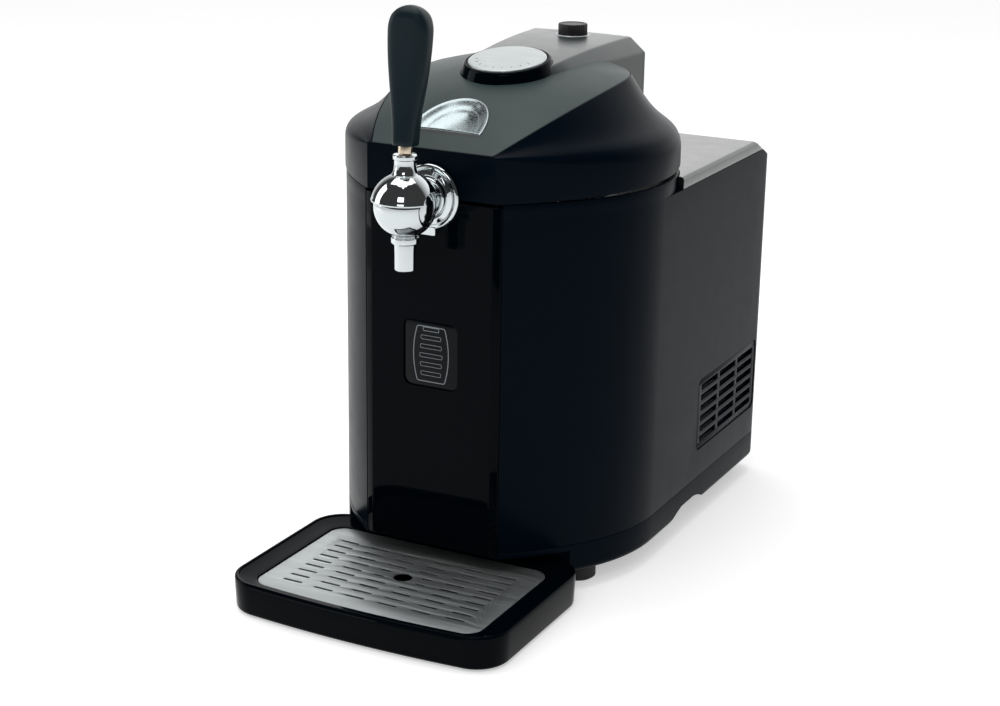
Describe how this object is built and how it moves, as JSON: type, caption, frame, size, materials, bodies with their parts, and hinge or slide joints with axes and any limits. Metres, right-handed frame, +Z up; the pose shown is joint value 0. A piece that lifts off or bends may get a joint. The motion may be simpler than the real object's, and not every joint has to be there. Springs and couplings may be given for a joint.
{
  "type": "mini keg beer dispenser",
  "caption": "Countertop cooler for a small beer keg: bell-shaped hinged lid, chrome lever tap, gloss front panel, slotted drip tray and a squared vented rear housing.",
  "frame": {"origin": "on the table, at the middle of the dispenser's box", "axes": "+Z up, +X to the right seen from the front, +Y from the tap to the rear wall"},
  "size_m": [0.2674, 0.505, 0.4618],
  "materials": {
    "body_black": "satin moulded",
    "panel_gloss": "high gloss",
    "visor_grey": "fine matte",
    "window_smoke": "gloss",
    "chrome": "polished",
    "brushed": "brushed",
    "zinc_steel": "zinc plated",
    "alu": "mill",
    "rubber_black": "matte",
    "foam": "foam",
    "inner_grey": "matte",
    "ceramic": "matte",
    "board": "satin",
    "brass_tint": "satin",
    "line_clear": "satin",
    "handle_black": "satin",
    "fan_black": "satin"
  },
  "bodies": {
    "cabinet": {"body_shell": "body_black", "base_skirt": "body_black", "front_panel": "panel_gloss", "display_window": "window_smoke", "display_lamp_board": "board", "rear_top_cover": "body_black", "rear_grille": "body_black", "side_vent_left": "body_black", "side_vent_right": "body_black", "top_deck": "inner_grey", "keg_liner": "alu", "liner_insulation": "foam", "cold_block": "alu", "peltier_module": "ceramic", "heat_sink": "alu", "fan_frame": "fan_black", "power_supply": "zinc_steel", "control_board": "board", "power_inlet": "fan_black", "feet": "rubber_black", "tap_bracket": "zinc_steel", "tap_flange": "chrome", "tap_shank": "chrome", "shank_nut": "brass_tint", "tap_body": "chrome", "tap_side_caps": "chrome", "tap_pivot_pin": "zinc_steel", "nozzle_collar": "chrome", "nozzle": "chrome", "beer_line": "line_clear", "keg_coupler": "fan_black", "hinge_bracket": "zinc_steel", "hinge_pins": "zinc_steel", "catch_plates": "zinc_steel", "case_screws": "zinc_steel"},
    "lid": {"lid_ring": "body_black", "lid_visor": "visor_grey", "lid_inner_pan": "inner_grey", "lid_hinge_leaves": "zinc_steel", "catch_magnets": "zinc_steel", "spine_housing": "body_black", "disc_collar": "panel_gloss", "regulator_body": "brass_tint", "gas_cartridge": "zinc_steel", "finger_scoop": "chrome"},
    "dial": {"dial_disc": "brushed"},
    "gas_knob": {"regulator_knob": "fan_black"},
    "lever": {"lever_dome": "chrome", "handle_stud": "brass_tint", "handle": "handle_black"},
    "valve": {"valve_shaft": "zinc_steel", "valve_seal": "rubber_black"},
    "tray": {"drip_tray": "panel_gloss"},
    "plate": {"grille_plate": "brushed"},
    "fan": {"fan_rotor": "fan_black"}
  },
  "joints": [
    {"name": "lid_hinge", "type": "hinge", "parent": "cabinet", "child": "lid", "pos_m": [0, 0.143, 0.325], "axis": [-1, 0, 0], "range_deg": [0, 78]},
    {"name": "tap_lever", "type": "hinge", "parent": "cabinet", "child": "lever", "pos_m": [0, -0.17, 0.3175], "axis": [1, 0, 0], "range_deg": [0, 35]},
    {"name": "valve_slide", "type": "slide", "parent": "cabinet", "child": "valve", "axis": [0, 1, 0], "range_m": [0, 0.0055]},
    {"name": "dial_turn", "type": "hinge", "parent": "lid", "child": "dial", "pos_m": [0, -0.0099, 0.4022], "axis": [0, -0.1685, 0.9857], "range_deg": [0, 270]},
    {"name": "gas_knob_turn", "type": "hinge", "parent": "lid", "child": "gas_knob", "pos_m": [0, 0.1098, 0.41], "axis": [0, 0, 1], "range_deg": [0, 270]},
    {"name": "tray_slide", "type": "slide", "parent": "cabinet", "child": "tray", "axis": [0, -1, 0], "range_m": [0, 0.15]},
    {"name": "plate_lift", "type": "slide", "parent": "tray", "child": "plate", "axis": [0, 0, 1], "range_m": [0, 0.009]},
    {"name": "fan_spin", "type": "hinge", "parent": "cabinet", "child": "fan", "pos_m": [0, 0.16, 0.105], "axis": [0, 1, 0], "continuous": true}
  ],
  "couplings": [
    {"joint": "valve_slide", "follows": "tap_lever", "m_per_rad": 0.0085}
  ]
}
